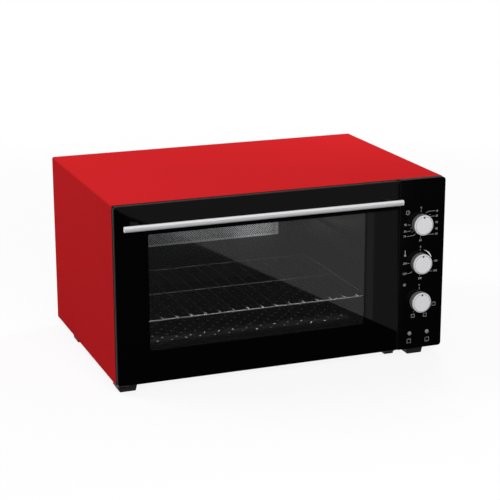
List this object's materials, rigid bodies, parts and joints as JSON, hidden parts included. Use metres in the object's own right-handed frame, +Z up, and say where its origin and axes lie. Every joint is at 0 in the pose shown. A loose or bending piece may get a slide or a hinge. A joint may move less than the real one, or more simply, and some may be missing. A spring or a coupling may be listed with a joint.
{
  "type": "table-top electric oven",
  "caption": "Table-top electric oven: red sheet casing, dark glass drop-down door with bar handle, side control strip with dials and lamps, lined cavity with rack and tray.",
  "frame": {"origin": "on the table, in the middle of the footprint of the whole oven, handle and cable gland included", "axes": "+X to the right along the width, +Y from the door to the back, +Z up; the door faces -Y"},
  "size_m": [0.56, 0.4094, 0.302],
  "materials": {
    "red_enamel": "smooth satin-gloss red coating",
    "zinc_steel": "galvanised steel",
    "black_steel": "black satin coating",
    "liner_enamel": "grey speckled heat coating",
    "black_plastic": "moulded, matt",
    "black_gloss": "polished black",
    "satin_grey": "satin light grey",
    "switch_housing": "moulded",
    "lamp_lens": "clear moulded lens",
    "copper": "drawn copper tube",
    "white_plastic": "moulded",
    "wire_sleeve": "glass-fibre sleeve",
    "element_sheath": "heat-darkened steel sheath",
    "chrome_wire": "bright plated wire",
    "tray_enamel": "dark speckled enamel",
    "dark_glass": "polished, printed black round a clear window",
    "clear_glass": "polished",
    "handle_steel": "satin silver",
    "spring_steel": "drawn spring wire"
  },
  "bodies": {
    "oven": {"outer_casing": "red_enamel", "base_panel": "zinc_steel", "rear_panel": "zinc_steel", "front_frame": "black_steel", "cavity_liner": "liner_enamel", "rear_mesh_panel": "zinc_steel", "cable_gland": "black_plastic", "control_panel": "black_gloss", "timer_body": "switch_housing", "thermostat_body": "switch_housing", "selector_body": "switch_housing", "power_lamp": "lamp_lens", "heating_lamp": "lamp_lens", "capillary_tube": "copper", "thermostat_bulb": "copper", "terminal_block": "white_plastic", "wiring_loom": "wire_sleeve", "heating_element_top": "element_sheath", "element_flange_top": "zinc_steel", "element_clip_top": "zinc_steel", "heating_element_bottom": "element_sheath", "element_flange_bottom": "zinc_steel", "element_clip_bottom": "zinc_steel", "hinge_bracket_left": "black_steel", "hinge_pin_left": "zinc_steel", "arm_roller_left": "zinc_steel", "door_spring_left": "spring_steel", "hinge_bracket_right": "black_steel", "hinge_pin_right": "zinc_steel", "arm_roller_right": "zinc_steel", "door_spring_right": "spring_steel", "foot_front_left": "black_plastic", "foot_rear_left": "black_plastic", "foot_front_right": "black_plastic", "foot_rear_right": "black_plastic"},
    "door": {"door_outer_glass": "dark_glass", "door_frame": "black_steel", "door_inner_glass": "clear_glass", "handle_bar": "handle_steel", "handle_post_left": "black_plastic", "handle_screw_left": "zinc_steel", "door_hinge_plate_left": "zinc_steel", "arm_pin_left": "zinc_steel", "handle_post_right": "black_plastic", "handle_screw_right": "zinc_steel", "door_hinge_plate_right": "zinc_steel", "arm_pin_right": "zinc_steel"},
    "left_arm": {"hinge_arm_left": "zinc_steel"},
    "right_arm": {"hinge_arm_right": "zinc_steel"},
    "timer_dial": {"timer_knob": "satin_grey", "timer_shaft": "zinc_steel"},
    "thermostat_dial": {"thermostat_knob": "satin_grey", "thermostat_shaft": "zinc_steel"},
    "selector_dial": {"selector_knob": "satin_grey", "selector_shaft": "zinc_steel"},
    "rack": {"wire_rack": "chrome_wire"},
    "tray": {"baking_tray": "tray_enamel"}
  },
  "joints": [
    {"name": "door_hinge", "type": "hinge", "parent": "oven", "child": "door", "pos_m": [-0.04, -0.169, 0.014], "axis": [1, 0, 0], "range_deg": [0, 84], "stiffness_Nm_per_rad": 1, "springref_deg": -17.19, "deforming": ["door_spring_left", "door_spring_right"]},
    {"name": "left_arm_pivot", "type": "hinge", "parent": "door", "child": "left_arm", "pos_m": [-0.25475, -0.1699, 0.058], "axis": [1, 0, 0], "range_deg": [-50, 0]},
    {"name": "right_arm_pivot", "type": "hinge", "parent": "door", "child": "right_arm", "pos_m": [0.17475, -0.1699, 0.058], "axis": [1, 0, 0], "range_deg": [-50, 0]},
    {"name": "timer_turn", "type": "hinge", "parent": "oven", "child": "timer_dial", "pos_m": [0.237, -0.18, 0.227], "axis": [0, 1, 0], "range_deg": [0, 270]},
    {"name": "thermostat_turn", "type": "hinge", "parent": "oven", "child": "thermostat_dial", "pos_m": [0.237, -0.18, 0.1613], "axis": [0, 1, 0], "range_deg": [0, 270]},
    {"name": "selector_turn", "type": "hinge", "parent": "oven", "child": "selector_dial", "pos_m": [0.237, -0.18, 0.0956], "axis": [0, 1, 0], "range_deg": [0, 270]},
    {"name": "rack_slide", "type": "slide", "parent": "oven", "child": "rack", "axis": [0, -1, 0], "range_m": [0, 0.012]},
    {"name": "tray_slide", "type": "slide", "parent": "oven", "child": "tray", "axis": [0, -1, 0], "range_m": [0, 0.015]}
  ],
  "couplings": [
    {"joint": "left_arm_pivot", "follows": "door_hinge", "ratio": -0.57},
    {"joint": "right_arm_pivot", "follows": "door_hinge", "ratio": -0.57}
  ]
}
